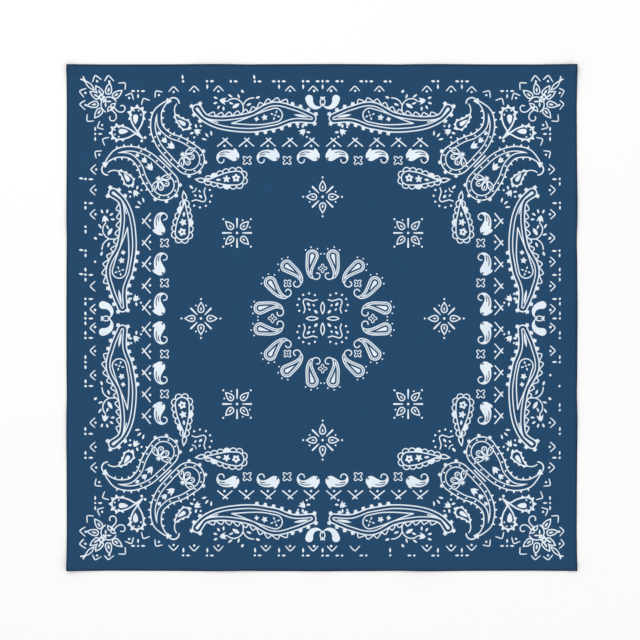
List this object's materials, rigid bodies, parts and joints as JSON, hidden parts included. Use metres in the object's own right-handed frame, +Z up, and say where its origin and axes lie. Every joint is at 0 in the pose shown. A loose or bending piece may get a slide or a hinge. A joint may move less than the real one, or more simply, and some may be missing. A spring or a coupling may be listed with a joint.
{
  "type": "bandana laid flat",
  "caption": "Square cotton bandana laid out flat, one thin printed panel with a narrow turned hem along each side.",
  "frame": {"origin": "middle of the panel, on the surface that the bandana lies on", "axes": "+Z up, out of the printed face; +Y towards the top edge of the picture; +X to the right"},
  "size_m": [0.5512, 0.5469, 0.0056],
  "materials": {
    "printed_cotton": "matt plain-weave cotton, mid-navy ground with a white paisley print",
    "hem_cotton": "matt plain-weave cotton, mid-navy, sewn with matching thread"
  },
  "bodies": {
    "root": {"panel": "printed_cotton", "hem_left": "hem_cotton", "hem_right": "hem_cotton", "hem_bottom": "hem_cotton", "hem_top": "hem_cotton"}
  },
  "joints": []
}
